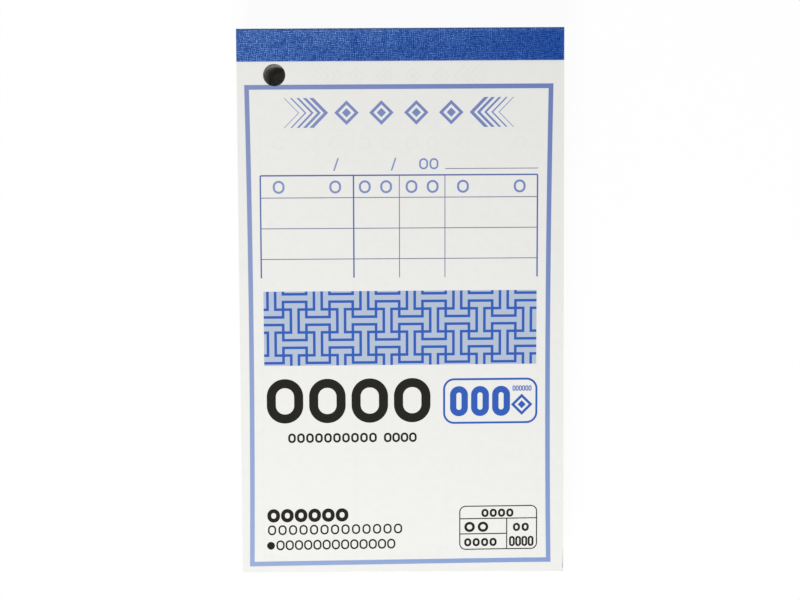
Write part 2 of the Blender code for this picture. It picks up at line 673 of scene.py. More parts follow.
@dataclass(frozen=True)
class Badge:
    """The count's badge, in millimetres: a round-cornered box, zeros for the count, a lozenge as its unit."""

    box: Box = (11.45, 37.28, -33.48, -20.88)
    corner: float = 2.75
    line: float = 0.56
    count: ZeroRow = ZeroRow(Type.COUNT, -27.23, first=15.79, last=27.33, count=3)
    small: ZeroRow = ZeroRow(Type.UNIT, -23.75, first=30.85, last=35.25, count=6)
    unit: MarkRow = MarkRow(-28.25, first=32.98, pitch=9.0, count=1, half=2.95)

    def print(self, press: Press) -> None:
        """Print the badge.

        Args:
            press: The sheet's press.
        """
        press.panel(Ink.DEEP_BLUE, self.box, self.corner, self.line)
        press.zeros(Ink.DEEP_BLUE, self.count)
        press.zeros(Ink.DEEP_BLUE, self.small)
        press.lozenges(Ink.DEEP_BLUE, self.unit)


@dataclass(frozen=True)
class DividedBox:
    """The divided box at the foot, in millimetres: one field over three, with zeros in each."""

    box: Box = (15.9, 37.38, -68.7, -56.35)
    corner: float = 1.6
    line: float = 0.30
    upper_rule: float = -59.98
    lower_rule: float = -64.24
    post: float = 29.0
    zeros: tuple[ZeroRow, ...] = (
        ZeroRow(Type.CODE, -58.43, first=23.0, last=29.85, count=4),
        ZeroRow(Type.CODE_WIDE, -62.3, first=18.75, last=22.45),
        ZeroRow(Type.CODE, -66.6, first=18.25, last=25.25, count=4),
        ZeroRow(Type.CODE, -62.48, first=31.7, last=34.1),
        ZeroRow(Type.CODE_TALL, -66.45, first=30.45, last=35.6, count=4),
    )

    def print(self, press: Press) -> None:
        """Print the box.

        Args:
            press: The sheet's press.
        """
        left, right, low, _ = self.box
        press.panel(Ink.BLACK, self.box, self.corner, self.line)
        press.rule(Ink.BLACK, self.upper_rule, left, right, self.line)
        press.post(Ink.BLACK, self.post, low, self.upper_rule, self.line)
        press.rule(Ink.BLACK, self.lower_rule, left, self.post, self.line)
        for row in self.zeros:
            press.zeros(Ink.BLACK, row)


@dataclass(frozen=True)
class CoverPrint:
    """The front of the cover, in millimetres: frame, sample form, lattice, plain title, badge and foot."""

    frame: Box = (-42.0, 41.13, -72.37, 58.98)
    frame_line: float = 1.27
    frame_bow: float = 0.50
    title: TitleBlock = TitleBlock()
    date: DateRow = DateRow()
    table: FormTable = FormTable()
    lattice: Lattice = Lattice()
    badge: Badge = Badge()
    divided_box: DividedBox = DividedBox()
    lines: tuple[ZeroRow, ...] = (
        ZeroRow(Type.TITLE, -26.8, first=-31.87, last=2.99, count=4),
        ZeroRow(Type.SUBTITLE, -37.0, first=-30.05, last=-7.8, count=10),
        ZeroRow(Type.SUBTITLE, -37.05, first=-3.75, last=3.15, count=4),
        ZeroRow(Type.BOLD, -58.43, first=-35.31, last=-16.44, count=6),
        ZeroRow(Type.BODY, -62.44, first=-35.8, last=-1.0, count=13),
        ZeroRow(Type.BODY, -66.65, first=-33.5, last=-2.9, count=13),
    )
    dot_x: float = -36.14
    dot_y: float = -66.74
    dot_radius: float = 1.08

    def print(self, press: Press) -> None:
        """Print everything: the title and foot are lines of zeros, and the last line has a dot before it.

        Args:
            press: The sheet's press.
        """
        self.print_frame(press)
        for block in (self.title, self.date, self.table, self.lattice, self.badge, self.divided_box):
            block.print(press)
        for line in self.lines:
            press.zeros(Ink.BLACK, line)
        press.dot(Ink.BLACK, self.dot_x, self.dot_y, self.dot_radius)

    def print_frame(self, press: Press) -> None:
        """Print the square-cornered frame: the larger of the two distances past its sides draws it.

        Its long sides bow inwards: by four times the bow times the shares above and below a point.

        Args:
            press: The sheet's press.
        """
        left, right, low, high = self.frame
        up = (press.y - low) / (high - low)
        bow = up * (1 - up) * (4 * self.frame_bow)
        past_x = abs(press.x - (left + right) / 2) + bow - (right - left - self.frame_line) / 2
        past_y = abs(press.y - (low + high) / 2) - (high - low - self.frame_line) / 2
        press.put(Ink.SOFT_BLUE, past_x.most(past_y).near(0.0, self.frame_line / 2))


@dataclass(frozen=True)
class SlipPrint:
    """The form on a slip, in millimetres: title block, date row, table and total."""

    title: TitleBlock = TitleBlock(
        y=61.2, half_height=2.9, outer_reach=22.6, lozenge_pitch=7.6, lozenge_half=2.5
    )
    date: DateRow = DateRow(
        slashes=MarkRow(50.0, first=-17.45, pitch=15.55, count=2, half=1.72),
        zeros=ZeroRow(Type.NUMBER, 50.0, first=6.2, last=9.0),
        rule_y=48.7,
        rule_right=36.98,
        rule_width=0.22,
    )
    table: FormTable = FormTable(top=46.8, heading=6.9, rows=12, open_foot=10.0)

    def print(self, press: Press) -> None:
        """Print the form. The total's zeros stand under those of the first column's heading.

        Args:
            press: The sheet's press.
        """
        table = self.table
        for block in (self.title, self.date, table):
            block.print(press)
        press.rule(Ink.LINE_BLUE, table.foot, table.left, table.right, table.heavy)
        press.zeros(Ink.SOFT_BLUE, ZeroRow(Type.HEADING, table.foot + table.open_foot / 2, *table.words[0]))


@dataclass(frozen=True)
class PaperStock:
    """Thin white wood-free paper, cloudy when looked at closely, with a fine felt surface."""

    colour: Colour = linear(249, 249, 246)
    cloud: Colour = linear(246, 246, 243)
    cloud_size: float = 2.2 * MM
    cloud_span: Span = (0.3, 0.75)
    roughness: float = 0.78
    gloss: float = 0.14
    felt_size: float = 0.25 * MM
    felt_depth: float = 0.006 * MM

    def base(self, tree: ShaderTree) -> Value:
        """The paper's cloudy white."""
        cloud = tree.noise(tree.object_place(), self.cloud_size, detail=4.0, rough=0.6)
        return tree.mix(cloud.spread(*self.cloud_span), self.colour, self.cloud)

    def surface(self, tree: ShaderTree) -> None:
        """Set the paper's roughness and felt.

        Args:
            tree: The material's nodes.
        """
        felt = tree.noise(tree.object_place(), self.felt_size, detail=3.0, rough=0.6)
        normal = tree.bump(felt, self.felt_depth)
        tree.set(Roughness=self.roughness, Specular_IOR_Level=self.gloss, Normal=normal)


class Finish:
    """What a surface is made of. Each finish is a frozen dataclass that paints its own material."""

    title = ""

    def material(self) -> bpy.types.Material:
        """Make the finish's material.

        Returns:
            The material.
        """
        tree = ShaderTree(bpy.data.materials.new(self.title))
        self.paint(tree)
        return tree.owner

    def paint(self, tree: ShaderTree) -> None:
        """Set up the material's nodes, as each finish does in its own way."""
        raise NotImplementedError(self.title)


def place_on_cover(tree: ShaderTree, sizes: PadSizes) -> tuple[Value, Value]:
    """The place on the cover in millimetres, from its UV map, which spans the whole pad.

    Args:
        tree: The material's nodes.
        sizes: The pad's sizes.

    Returns:
        The place across and along.
    """
    u, v, _ = tree.parts(tree.node("ShaderNodeUVMap", {"uv_map": SHEET_UV}))
    width = 2 * sizes.half_width / MM
    length = (sizes.head - sizes.tail) / MM
    return u.times_plus(width, -width / 2), v.times_plus(length, sizes.tail / MM)


@dataclass(frozen=True)
class CoverFront(Finish):
    """The cover's printed side, with the first slip's form just showing through."""

    title = "cover_front"
    sizes: PadSizes
    paper: PaperStock = PaperStock()
    design: CoverPrint = CoverPrint()
    under: SlipPrint = SlipPrint()
    show_through: float = 0.05
    out_of_square_x: float = 0.0075
    out_of_square_y: float = 0.0118
    ink_grain: float = 0.35 * MM
    ink_unevenness: float = 0.1
    soft_ink: float = 0.90
    soft_right: float = 0.10
    soft_fade: float = 0.14
    soft_head: Colour = linear(119, 137, 198)
    soft_foot: Colour = linear(111, 149, 213)

    def square_up(self, x: Value, y: Value, down: Value) -> tuple[Value, Value]:
        """Set the print a little out of square with the trim.

        From none at the frame's head, the skew grows to its full value at the foot. Each share is of
        the distance from the frame's left side.

        Args:
            x: The place across the sheet.
            y: The place along it.
            down: How far down the frame it is, from 0 to 1.

        Returns:
            The place across and along in the print.
        """
        from_left = (x - self.design.frame[0]) * down
        squared_x = from_left.times_plus(self.out_of_square_x, x)
        squared_y = (from_left * down).times_plus(-self.out_of_square_y, y)
        return squared_x, squared_y

    def soft_strength(self, tree: ShaderTree, x: Value, down: Value) -> Value:
        """How strongly the soft ink shows: stronger to the right, weaker to the foot, with a fine grain of
        dots.

        Args:
            tree: The material's nodes.
            x: The place across the sheet.
            down: How far down the frame it is, from 0 to 1.

        Returns:
            The strength.
        """
        left, right, _, _ = self.design.frame
        dots = tree.noise(tree.object_place(), self.ink_grain, detail=2.0, rough=0.6)
        grain = dots.times_plus(self.ink_unevenness, 1 - self.ink_unevenness / 2)
        across = (x - left) / (right - left)
        return (across * self.soft_right - down * self.soft_fade + self.soft_ink) * grain

    def paint(self, tree: ShaderTree) -> None:
        """Print the form that shows through, then the cover, whose soft ink turns bluer to the foot.

        Args:
            tree: The material's nodes.
        """
        x, y = place_on_cover(tree, self.sizes)
        ghost = Press(tree, x, y)
        self.under.print(ghost)
        paper = tree.mix(ghost.darkness() * self.show_through, self.paper.base(tree), Ink.DEEP_BLUE.value)
        _, _, low, high = self.design.frame
        down = (high - y) / (high - low)
        press = Press(tree, *self.square_up(x, y, down))
        self.design.print(press)
        strengths = {Ink.SOFT_BLUE: self.soft_strength(tree, x, down)}
        tones = {Ink.SOFT_BLUE: tree.mix(down, self.soft_head, self.soft_foot)}
        tree.set(Base_Color=press.colour(paper, strengths, tones))
        self.paper.surface(tree)


@dataclass(frozen=True)
class CoverBack(Finish):
    """The cover's blank side and edges, with the print just showing through from the front."""

    title = "cover_back"
    sizes: PadSizes
    paper: PaperStock = PaperStock()
    design: CoverPrint = CoverPrint()
    show_through: float = 0.10

    def paint(self, tree: ShaderTree) -> None:
        """Darken the paper a little where the front is printed.

        Args:
            tree: The material's nodes.
        """
        press = Press(tree, *place_on_cover(tree, self.sizes))
        self.design.print(press)
        shown = press.darkness() * self.show_through
        tree.set(Base_Color=tree.mix(shown, self.paper.base(tree), Ink.DEEP_BLUE.value))
        self.paper.surface(tree)


@dataclass(frozen=True)
class SlipFront(Finish):
    """A slip's printed side."""

    title = "slip_front"
    # The same paper as the cover's, painted greyer: painted shade, so that a slip drawn out near the key lamp
    # doesn't clip to white.
    paper: PaperStock = PaperStock(colour=linear(228, 228, 225), cloud=linear(223, 223, 219))
    design: SlipPrint = SlipPrint()

    def paint(self, tree: ShaderTree) -> None:
        """Print the form on the slip's paper.

        Args:
            tree: The material's nodes.
        """
        x, y, _ = tree.parts(tree.object_place((1 / MM, 1 / MM, 1 / MM)))
        press = Press(tree, x, y)
        self.design.print(press)
        tree.set(Base_Color=press.colour(self.paper.base(tree)))
        self.paper.surface(tree)


@dataclass(frozen=True)
class CutEdges(Finish):
    """Trimmed paper edges and blank backs: each sheet its own white, with fine upright knife marks."""

    title = "cut_edges"
    light: Colour = linear(240, 239, 234)
    dark: Colour = linear(216, 213, 204)
    tone_share: float = 0.6
    mark_width: float = 0.35 * MM
    mark_length: float = 9.0
    mark_span: Span = (0.35, 0.75)
    mark_depth: float = 0.02 * MM
    roughness: float = 0.85
    gloss: float = 0.25

    def paint(self, tree: ShaderTree) -> None:
        """Shade the sheets by their own tone and by noise that is drawn out along the pad's height.

        Args:
            tree: The material's nodes.
        """
        place = tree.object_place((1.0, 1.0, 1 / self.mark_length))
        marks = tree.noise(place, self.mark_width, detail=3.0, rough=0.65)
        own = tree.attribute(TONE) * self.tone_share
        shade = own + marks.spread(*self.mark_span) * (1 - self.tone_share)
        tree.set(
            Base_Color=tree.mix(shade, self.light, self.dark),
            Roughness=self.roughness,
            Specular_IOR_Level=self.gloss,
            Normal=tree.bump(marks, self.mark_depth),
        )


@dataclass(frozen=True)
class DrilledWall(Finish):
    """The wall of the drilled hole: paper edges rubbed warm, with painted shade.

    The shade is painted a little darker all round the mouth, and darkest on the side towards the head, from
    the mouth some way down.
    """

    title = "drilled_wall"
    hole_y: float
    light: Colour = linear(242, 239, 234)
    dark: Colour = linear(202, 197, 190)
    # Painted shade: a darker ring at the mouth, and a darker wall below it on the side towards the head,
    # which the key lamp lights.
    mouth_shade: Colour = linear(118, 113, 104)
    head_side_shade: Colour = linear(58, 53, 50)
    front: float = SLIPS_FRONT
    mouth_shade_depth: float = 1.6 * MM
    mouth_shade_share: float = 0.75
    head_side_shade_depth: float = 9.0 * MM
    head_side_shade_share: float = 0.94
    head_side_shade_from: float = -0.5 * MM
    head_side_shade_to: float = 2.2 * MM
    rub_size: float = 0.7 * MM
    rub_squeeze: float = 2.5
    rub_span: Span = (0.3, 0.7)
    rub_share: float = 0.7
    rub_depth: float = 0.05 * MM
    roughness: float = 0.8
    gloss: float = 0.25

    def paint(self, tree: ShaderTree) -> None:
        """Mottle the paper edges, then paint shade at the mouth, and more by height on the side towards the
        head.

        Args:
            tree: The material's nodes.
        """
        place = tree.object_place((1.0, 1.0, self.rub_squeeze))
        rubbed = tree.noise(place, self.rub_size, detail=4.0, rough=0.65)
        own = tree.attribute(TONE) * (1 - self.rub_share)
        base = tree.mix(rubbed.spread(*self.rub_span) * self.rub_share + own, self.light, self.dark)
        _, along, height = tree.parts(tree.object_place())
        # Painted shade at the mouth, all round.
        mouth = height.spread(self.front - self.mouth_shade_depth, self.front)
        base = tree.mix(mouth * self.mouth_shade_share, base, self.mouth_shade)
        # Painted shade on the head side, from the mouth down, where the key lamp shines into the hole.
        headwards = along.spread(self.hole_y + self.head_side_shade_from, self.hole_y + self.head_side_shade_to)
        painted_shade = headwards * height.spread(self.front - self.head_side_shade_depth, self.front - self.mouth_shade_depth)
        tree.set(
            Base_Color=tree.mix(painted_shade * self.head_side_shade_share, base, self.head_side_shade),
            Roughness=self.roughness,
            Specular_IOR_Level=self.gloss,
            Normal=tree.bump(rubbed, self.rub_depth),
        )


@dataclass(frozen=True)
class Greyboard(Finish):
    """Grey board of waste paper: uneven grey-brown with long fibres and flecks, light and dark."""

    title = "greyboard"
    colour: Colour = linear(160, 150, 136)
    patch: Colour = linear(153, 143, 129)
    patch_size: float = 6 * MM
    patch_span: Span = (0.35, 0.65)
    light_fleck: Colour = linear(196, 188, 174)
    fibre_size: float = 0.4 * MM
    fibre_stretch: float = 0.22
    fibre_span: Span = (0.56, 0.72)
    fibre_share: float = 0.75
    fibre_depth: float = 0.05 * MM
    dark_fleck: Colour = linear(92, 88, 86)
    fleck_size: float = 0.5 * MM
    fleck_span: Span = (0.66, 0.72)
    fleck_share: float = 0.7
    smoothest: float = 0.82
    rougher: float = 0.1
    gloss: float = 0.2

    def paint(self, tree: ShaderTree) -> None:
        """Lay patches, light fibres drawn out along the board, and dark flecks over the grey.

        Args:
            tree: The material's nodes.
        """
        place = tree.object_place()
        patches = tree.noise(place, self.patch_size, detail=4.0, rough=0.6)
        base = tree.mix(patches.spread(*self.patch_span), self.colour, self.patch)
        drawn_out = tree.object_place((1.0, self.fibre_stretch, 1.0))
        fibres = tree.noise(drawn_out, self.fibre_size, detail=5.0, rough=0.7)
        base = tree.mix(fibres.spread(*self.fibre_span) * self.fibre_share, base, self.light_fleck)
        flecks = tree.noise(place, self.fleck_size)
        tree.set(
            Base_Color=tree.mix(flecks.spread(*self.fleck_span) * self.fleck_share, base, self.dark_fleck),
            Roughness=fibres.times_plus(self.rougher, self.smoothest),
            Specular_IOR_Level=self.gloss,
            Normal=tree.bump(fibres, self.fibre_depth),
        )


@dataclass(frozen=True)
class DriedGum(Finish):
    """Padding gum brushed on and dried: milky, uneven, with a dull gloss."""

    title = "dried_gum"
    thick: Colour = linear(226, 218, 192)
    thin: Colour = linear(205, 196, 172)
    stroke_size: float = 1.2 * MM
    stroke_stretch: float = 0.15
    stroke_span: Span = (0.3, 0.7)
    stroke_depth: float = 0.08 * MM
    smoothest: float = 0.35
    rougher: float = 0.2

    def paint(self, tree: ShaderTree) -> None:
        """Mix thick and thin gum by brush strokes along the head.

        Args:
            tree: The material's nodes.
        """
        place = tree.object_place((self.stroke_stretch, 1.0, 1.0))
        strokes = tree.noise(place, self.stroke_size, detail=3.0, rough=0.6)
        tree.set(
            Base_Color=tree.mix(strokes.spread(*self.stroke_span), self.thick, self.thin),
            Roughness=strokes.times_plus(self.rougher, self.smoothest),
            Normal=tree.bump(strokes, self.stroke_depth),
        )


@dataclass(frozen=True)
class EmbossedTape(Finish):
    """Blue coated binding tape with a linen grain: painted shade between its threads, painted glints on their
    crests.
    """

    title = "embossed_tape"
    # Painted shade: the valleys between the threads are coloured darker than the threads.
    painted_valley_shade: Colour = linear(0, 33, 110)
    ground: Colour = linear(30, 89, 181)
    ground_span: Span = (0.26, 0.70)
    patch_size: float = 5.0 * MM
    patch_span: Span = (0.3, 0.7)
    coat_size: float = 0.16 * MM
    coat_depth: float = 0.012 * MM
    uneven_share: float = 0.05
    # Painted glints on the crests, scaled by the painted sheen and the wear.
    crest_glint: Colour = linear(142, 186, 255)
    crest_glint_span: Span = (0.52, 0.84)
    glint_span: Span = (0.0, 0.55)
    glint_least: float = 0.15
    glint_more: float = 0.65
    # A lighter blue where the tape is worn, and painted sheen towards the hole's side.
    rubbed: Colour = linear(128, 166, 238)
    worn_and_sheen_share: float = 0.14
    valley_roughness: float = 0.60
    crest_smoother: float = -0.25
    gloss: float = 0.12

    def paint(self, tree: ShaderTree) -> None:
        """Colour the tape by the threads' height, with a finer unevenness of the coat: painted shade in the
        valleys, a lighter blue where it is worn and where sheen is painted, and painted glints on the crests.

        The glints follow the painted sheen and the wear, so they show less at the end of the tape that has
        less of both.

        Args:
            tree: The material's nodes.
        """
        place = tree.object_place()
        height = tree.attribute(RELIEF)
        wear_and_sheen = tree.attribute(WEAR_AND_SHEEN)
        coat = tree.noise(place, self.coat_size)
        patches = tree.noise(place, self.patch_size, detail=3.0, rough=0.6).spread(*self.patch_span)
        low = height.spread(*self.ground_span) * (1 - 2 * self.uneven_share)
        low = low + patches * self.uneven_share + coat * self.uneven_share
        # Painted glints: how strongly the crests are brightened, from the painted sheen and the wear.
        glint_strength = wear_and_sheen.spread(*self.glint_span).times_plus(self.glint_more, self.glint_least)
        # Painted shade: dark in the valleys, the tape's blue on the threads.
        base = tree.mix(low, self.painted_valley_shade, self.ground)
        base = tree.mix(wear_and_sheen * self.worn_and_sheen_share, base, self.rubbed)
        tree.set(
            Base_Color=tree.mix(height.spread(*self.crest_glint_span) * glint_strength, base, self.crest_glint),
            Roughness=height.times_plus(self.crest_smoother, self.valley_roughness),
            Specular_IOR_Level=self.gloss,
            Normal=tree.bump(coat, self.coat_depth),
        )


def background_rays(tree: ShaderTree) -> Value:
    """A mask of the rays that see the background: straight from the camera, or by gloss or glass.

    Args:
        tree: The nodes of a material or world.

    Returns:
        The mask.
    """
    outputs = tree.node("ShaderNodeLightPath").socket.node.outputs
    rays = [Value(tree, outputs[f"Is {kind} Ray"]) for kind in ("Camera", "Glossy", "Transmission")]
    return reduce(Value.most, rays)


@dataclass(frozen=True)
class PaleFloor(Finish):
    """A pale floor that shows as white, takes the pad's shadow and stays plain under the pad."""

    title = "floor"
    sizes: PadSizes
    matt: Colour = (0.82, 0.82, 0.82)
    white_strength: float = 1.02
    shadow_share: float = 0.07

    def paint(self, tree: ShaderTree) -> None:
        """Mix white and matt where the background is seen, and leave the rest matt.

        Args:
            tree: The material's nodes.
        """
        x, y, _ = tree.parts(tree.node("ShaderNodeTexCoord", output="Object"))
        under_pad = x.near(0.0, self.sizes.half_width) * y.near(0.0, -self.sizes.tail)
        white = tree.node("ShaderNodeEmission", {}, {"Color": WHITE, "Strength": self.white_strength})
        matt = tree.node("ShaderNodeBsdfDiffuse", {}, {"Color": self.matt})
        shaded = tree.node("ShaderNodeMixShader", {}, {0: self.shadow_share, 1: white, 2: matt})
        share = background_rays(tree) * (1 - under_pad)
        result = tree.node("ShaderNodeMixShader", {}, {0: share, 1: matt, 2: shaded})
        tree.feed(tree.nodes["Material Output"].inputs["Surface"], result)


@dataclass(frozen=True)
class PadSizes:
    """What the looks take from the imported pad, and the radius of its hanging hole."""

    half_width: float
    tail: float
    head: float
    tape_edge: float
    hole_x: float
    hole_y: float
    hole_radius: float = 3.0 * MM

    @property
    def hole(self) -> np.ndarray:
        """The hole's middle in the plane."""
        return np.array([self.hole_x, self.hole_y])

    @classmethod
    def of_frame(cls, frame: Mapping[str, Any]) -> PadSizes:
        """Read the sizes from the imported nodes, and the hole's middle from the opening that states it.


        Returns:
            The sizes.
        """
        low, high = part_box("slip_001")
        tape_low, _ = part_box("binding_tape")
        opening = frame["record"]["physics"]["openings"][0]["box_m"]
        middle = np.mean(opening, axis=0)
        return cls(high.x, low.y, high.y, tape_low.y, float(middle[0]), float(middle[1]))


@dataclass(frozen=True)
class Patch:
    """An open sheet of quads in the plane, with the loops that bound it; the sheet is left of each loop."""

    points: np.ndarray
    quads: np.ndarray
    loops: tuple[np.ndarray, ...]

    def on_loop(self, number: int) -> np.ndarray:
        """A column that is 1 at the points of one of the loops and 0 at the others."""
        return np.isin(np.arange(len(self.points)), self.loops[number])[:, None].astype(float)


class Side(Enum):
    """The sides of a thickened patch, in the order of their faces."""

    FRONT = 0
    BACK = 1
    RIM = 2
    BORE = 3


@dataclass(frozen=True)
class Shell:
    """A closed mesh of quads, with the side that each quad is on, and any larger faces that close it."""

    points: np.ndarray
    quads: np.ndarray
    sides: np.ndarray
    caps: tuple[np.ndarray, ...] = ()


def grid_quads(rows: int, columns: int) -> np.ndarray:
    """The corner numbers of a grid's quads, counter-clockwise where columns run right and rows up."""
    corner = (np.arange(rows - 1)[:, None] * columns + np.arange(columns - 1)).ravel()
    return np.stack([corner, corner + 1, corner + columns + 1, corner + columns], axis=1)


def ring_quads(outer: np.ndarray, inner: np.ndarray) -> np.ndarray:
    """The corner numbers of the quads between closed loops and the loops inside them."""
    turned = [outer, np.roll(outer, -1, -1), np.roll(inner, -1, -1), inner]
    return np.stack(turned, axis=-1).reshape(-1, 4)


def border(low: int, high: int, left: int, right: int, columns: int) -> np.ndarray:
    """The corner numbers round a block of a grid, counter-clockwise from its low left corner.

    Args:
        low: The block's first row.
        high: Its last row.
        left: Its first column.
        right: Its last column.
        columns: How many columns the grid has.

    Returns:
        The corner numbers.
    """
    rows = np.arange(low, high)
    steps = np.arange(left, right)
    sides = [
        low * columns + steps,
        rows * columns + right,
        high * columns + steps[::-1] + 1,
        (rows[::-1] + 1) * columns + left,
    ]
    return np.concatenate(sides)


def drilled_patch(sizes: PadSizes, xs: np.ndarray, ys: np.ndarray, block: tuple[int, int, int, int]) -> Patch:
    """A rectangle of grid lines with a round hole.

    A square block of the grid round the hole is left out. Rings lead from its border to the hole: each
    border point moves straight towards the point of the circle at its own angle.

    Args:
        sizes: Where the hole is.
        xs: Grid lines across.
        ys: Grid lines along.
        block: First and last line of the block across, then along.

    Returns:
        The patch, whose loops are the outline and the hole.
    """
    left, right, low, high = block
    columns = len(xs)
    grid = np.stack(np.meshgrid(xs, ys), axis=-1).reshape(-1, 2)
    quads = grid_quads(len(ys), columns)
    row, column = np.divmod(quads[:, 0], columns)
    inside = (row >= low) & (row < high) & (column >= left) & (column < right)
    square = border(low, high, left, right, columns)
    outwards = grid[square] - sizes.hole
    circle = sizes.hole + sizes.hole_radius * outwards / np.linalg.norm(outwards, axis=1, keepdims=True)
    shares = np.linspace(0.0, 1.0, HOLE_RINGS + 1)[1:, None, None]
    rings = grid[square] + shares * (circle - grid[square])
    ring_numbers = len(grid) + np.arange(HOLE_RINGS * len(square)).reshape(HOLE_RINGS, -1)
    numbers = np.concatenate([square[None], ring_numbers])
    points = np.concatenate([grid, rings.reshape(-1, 2)])
    faces = np.concatenate([quads[~inside], ring_quads(numbers[:-1], numbers[1:])])
    outline = border(0, len(ys) - 1, 0, columns - 1, columns)
    used, packed = np.unique(faces, return_inverse=True)
    new_number = np.full(len(points), -1)
    new_number[used] = np.arange(len(used))
    loops = (new_number[outline], new_number[numbers[-1]][::-1])
    return Patch(points[used], packed.reshape(-1, 4), loops)


def lines_round_hole(low: float, high: float, middle: float, pitch: float) -> tuple[np.ndarray, int, int]:
    """Grid lines from low to high, even in the hole's block and about a pitch apart elsewhere.

    Args:
        low: First line.
        high: Last line.
        middle: The hole's middle.
        pitch: Step away from the hole.

    Returns:
        The lines, and the numbers of the block's first and last line.
    """
    first, last = middle - HOLE_BLOCK, middle + HOLE_BLOCK
    before = np.linspace(low, first, max(1, round((first - low) / pitch)) + 1)
    block = np.linspace(first, last, HOLE_BLOCK_CELLS + 1)
    after = np.linspace(last, high, max(1, round((high - last) / pitch)) + 1)
    start = len(before) - 1
    return np.concatenate([before, block[1:], after[1:]]), start, start + HOLE_BLOCK_CELLS


def fan_patch(sizes: PadSizes) -> Patch:
    """A whole trimmed sheet with its hole, as one ring of quads from the hole to the outline.

    Rays leave the hole's middle at even angles, and the nearest one to each corner is turned to meet it.
    A ray ends at the nearer of the two sides that it is heading for.

    Args:
        sizes: The pad's sizes.

    Returns:
        The sheet in the plane.
    """
    low = np.array([-sizes.half_width, sizes.tail]) - sizes.hole
    high = np.array([sizes.half_width, sizes.head]) - sizes.hole
    angles = (np.arange(HOLE_SIDES) + 0.5) * 2 * np.pi / HOLE_SIDES - np.pi
    corners = np.arctan2([low[1], low[1], high[1], high[1]], [low[0], high[0], high[0], low[0]])
    angles[np.abs(angles[:, None] - corners).argmin(axis=0)] = corners
    rays = np.stack([np.cos(angles), np.sin(angles)], axis=1)
    reach = (np.where(rays > 0, high, low) / rays).min(axis=1, keepdims=True)
    outer = np.arange(HOLE_SIDES)
    inner = outer + HOLE_SIDES
    points = sizes.hole + np.concatenate([rays * reach, rays * sizes.hole_radius])
    return Patch(points, ring_quads(outer, inner), (outer, inner[::-1]))


def thicken(patch: Patch, front: np.ndarray, back: np.ndarray) -> Shell:
    """Close a patch between its front and back points with a wall along each of its loops.

    Args:
        patch: The quads and loops.
        front: The points of the front, in space.
        back: The points of the back, in space.

    Returns:
        The closed shell, with the first loop's wall as its rim and the second's as its bore.
    """
    count = len(front)
    faces = [patch.quads, patch.quads[:, ::-1] + count]
    for loop in patch.loops:
        after = np.roll(loop, -1)
        faces.append(np.stack([loop + count, after + count, after, loop], axis=1))
    sides = np.concatenate([np.full(len(quads), number) for number, quads in enumerate(faces)])
    return Shell(np.concatenate([front, back]), np.concatenate(faces), sides)


def add_object(name: str, data: bpy.types.ID) -> bpy.types.Object:
    """Put an object with its data into the scene, at the origin.

    Args:
        name: The object's name.
        data: Its mesh, lamp or camera.

    Returns:
        The object.
    """
    made = bpy.data.objects.new(name, data)
    bpy.context.scene.collection.objects.link(made)
    return made


def add_piece(
    name: str,
    shell: Shell,
    materials: Sequence[bpy.types.Material],
    slots: Mapping[Side, int],
    numbers: Mapping[str, np.ndarray] | None = None,
) -> bpy.types.Object:
    """Put a shell into the scene as one piece.

    Args:
        name: The piece's name.
        shell: Its mesh.
        materials: Its materials.
        slots: Which material each side takes, where that isn't the first.
        numbers: Named numbers stored at its points.

    Returns:
        The piece, at the origin.
    """
    mesh = bpy.data.meshes.new(name)
    faces = shell.quads.tolist() + [cap.tolist() for cap in shell.caps]
    mesh.from_pydata(shell.points.tolist(), [], faces)
    for material in materials:
        mesh.materials.append(material)
    slot_of_side = np.array([slots.get(side, 0) for side in Side], dtype=np.int32)
    sides = np.append(shell.sides, np.full(len(shell.caps), Side.RIM.value))
    mesh.polygons.foreach_set("material_index", slot_of_side[sides])
    for key, values in (numbers or {}).items():
        layer = mesh.attributes.new(key, "FLOAT", "POINT")
        layer.data.foreach_set("value", values.astype(np.float32))
    mesh.shade_smooth()
    mesh.set_sharp_from_angle(angle=SMOOTH_BELOW)
    mesh.update()
    return add_object(name, mesh)


def ease(place: np.ndarray, low: float, high: float) -> np.ndarray:
    """A smooth step from 0 at the low place to 1 at the high one: 3 squares less 2 cubes of the share."""
    share = np.clip((place - low) / (high - low), 0.0, 1.0)
    return share * share * (3 - 2 * share)


def curl(share: np.ndarray, start: float) -> np.ndarray:
    """The square of how far a share is past a start, from 0 there to 1 where the share is 1."""
    return np.clip((share - start) / (1 - start), 0.0, 1.0) ** 2


def soft_noise(u: np.ndarray, v: np.ndarray, seed: int) -> np.ndarray:
    """Smooth noise from 0 to 1: seeded random numbers at whole places, eased from each to the next.

    Args:
        u: First coordinate, in cells.
        v: Second coordinate, in cells.
        seed: Which numbers are drawn.

    Returns:
        The noise at each place.
    """
    table = np.random.default_rng(seed).random((NOISE_CELLS, NOISE_CELLS))
    cell_u = np.floor(u).astype(int)
    cell_v = np.floor(v).astype(int)
    share_u = ease(u - cell_u, 0.0, 1.0)
    share_v = ease(v - cell_v, 0.0, 1.0)
    this_u, this_v = cell_u % NOISE_CELLS, cell_v % NOISE_CELLS
    next_u, next_v = (cell_u + 1) % NOISE_CELLS, (cell_v + 1) % NOISE_CELLS
    low = table[this_u, this_v] * (1 - share_u) + table[next_u, this_v] * share_u
    high = table[this_u, next_v] * (1 - share_u) + table[next_u, next_v] * share_u
    return low * (1 - share_v) + high * share_v


@dataclass(frozen=True)
class Drill:
    """The drill that made the hanging hole, and how far it had strayed when it came out at the back."""

    front: float = SLIPS_FRONT
    stray: Span = (0.8 * MM, -0.85 * MM)

    def bore(self, patch: Patch, plan: np.ndarray, height: np.ndarray | float) -> np.ndarray:
        """Lay flat sheets at their heights, and move each hole's rim by the stray times the depth's share."""
        moved = plan + (1 - height / self.front) * patch.on_loop(1) * np.array(self.stray)
        return np.concatenate([moved, np.broadcast_to(height, (*moved.shape[:-1], 1))], axis=-1)


